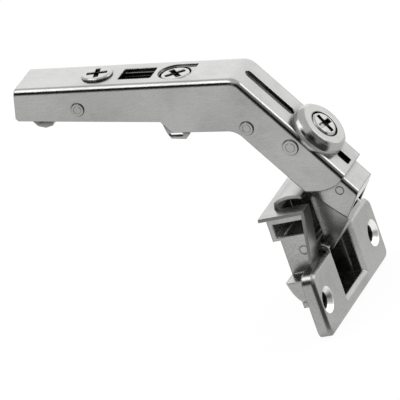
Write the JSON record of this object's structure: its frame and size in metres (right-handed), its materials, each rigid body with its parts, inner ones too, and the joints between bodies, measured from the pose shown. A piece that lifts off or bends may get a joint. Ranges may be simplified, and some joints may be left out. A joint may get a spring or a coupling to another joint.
{
  "type": "concealed cup hinge",
  "caption": "Concealed furniture hinge: a cranked channel arm with adjusting screws and a release lever, swinging a flanged screw-on cup on two links.",
  "frame": {"origin": "midway between the two cup screws, on the back of the flange, where it lies on the door", "axes": "+X out of the door's face and along the closed arm's overall length, +Y along the hinge axis, +Z to the edge of the door"},
  "size_m": [0.0952, 0.056, 0.086],
  "materials": {
    "plated_sheet": "satin nickel plating on pressed steel sheet",
    "plated_casting": "satin nickel plating on a casting",
    "screw_steel": "bright nickel plating",
    "pin_steel": "plated, ground flush",
    "spring_steel": "dark spring steel"
  },
  "bodies": {
    "arm": {"arm_channel": "plated_sheet", "carrier_channel": "plated_sheet", "clip_body": "plated_sheet", "lever_spring": "spring_steel", "lever_rivet": "pin_steel", "elbow_rivets": "pin_steel", "carrier_rivets": "pin_steel", "lock_nut": "screw_steel", "outer_arm_pin": "pin_steel", "inner_arm_pin": "pin_steel"},
    "release_lever": {"release_lever": "plated_sheet"},
    "locking_screw": {"locking_screw": "screw_steel"},
    "cam_screw": {"cam_screw": "screw_steel"},
    "side_adjust_screw": {"side_adjust_screw": "screw_steel"},
    "outer_link": {"outer_link": "plated_sheet"},
    "inner_link": {"inner_link": "plated_sheet"},
    "cup": {"cup": "plated_casting", "edge_bracket": "plated_sheet", "outer_cup_pin": "pin_steel", "inner_cup_pin": "pin_steel", "closing_spring": "spring_steel"}
  },
  "joints": [
    {"name": "outer_link_swing", "type": "hinge", "parent": "arm", "child": "outer_link", "pos_m": [0.00818, 0, 0.03012], "axis": [0, -1, 0], "range_deg": [0, 27.57], "stiffness_Nm_per_rad": 0.3, "springref_deg": -11.46},
    {"name": "cup_swing", "type": "hinge", "parent": "outer_link", "child": "cup", "pos_m": [0.0019, 0, 0.0103], "axis": [0, -1, 0], "range_deg": [0, 32.5]},
    {"name": "inner_link_swing", "type": "hinge", "parent": "arm", "child": "inner_link", "pos_m": [0.01173, 0, 0.02646], "axis": [0, -1, 0], "range_deg": [0, 35.4]},
    {"name": "release_lever_press", "type": "hinge", "parent": "arm", "child": "release_lever", "pos_m": [-0.05802, 0, 0.06668], "axis": [0, 1, 0], "range_deg": [0, 7], "stiffness_Nm_per_rad": 0.5, "springref_deg": -11.46},
    {"name": "locking_screw_turn", "type": "hinge", "parent": "arm", "child": "locking_screw", "pos_m": [-0.05242, 0, 0.07276], "axis": [0.1392, 0, 0.9903], "continuous": true},
    {"name": "cam_screw_turn", "type": "hinge", "parent": "arm", "child": "cam_screw", "pos_m": [-0.02856, 0, 0.06941], "axis": [0.1392, 0, 0.9903], "continuous": true},
    {"name": "side_adjust_screw_turn", "type": "hinge", "parent": "arm", "child": "side_adjust_screw", "pos_m": [0.00757, 0, 0.0427], "axis": [0.8406, 0, 0.5417], "continuous": true}
  ],
  "couplings": [
    {"joint": "cup_swing", "follows": "outer_link_swing", "ratio": 1.176},
    {"joint": "inner_link_swing", "follows": "outer_link_swing", "ratio": 1.282}
  ]
}
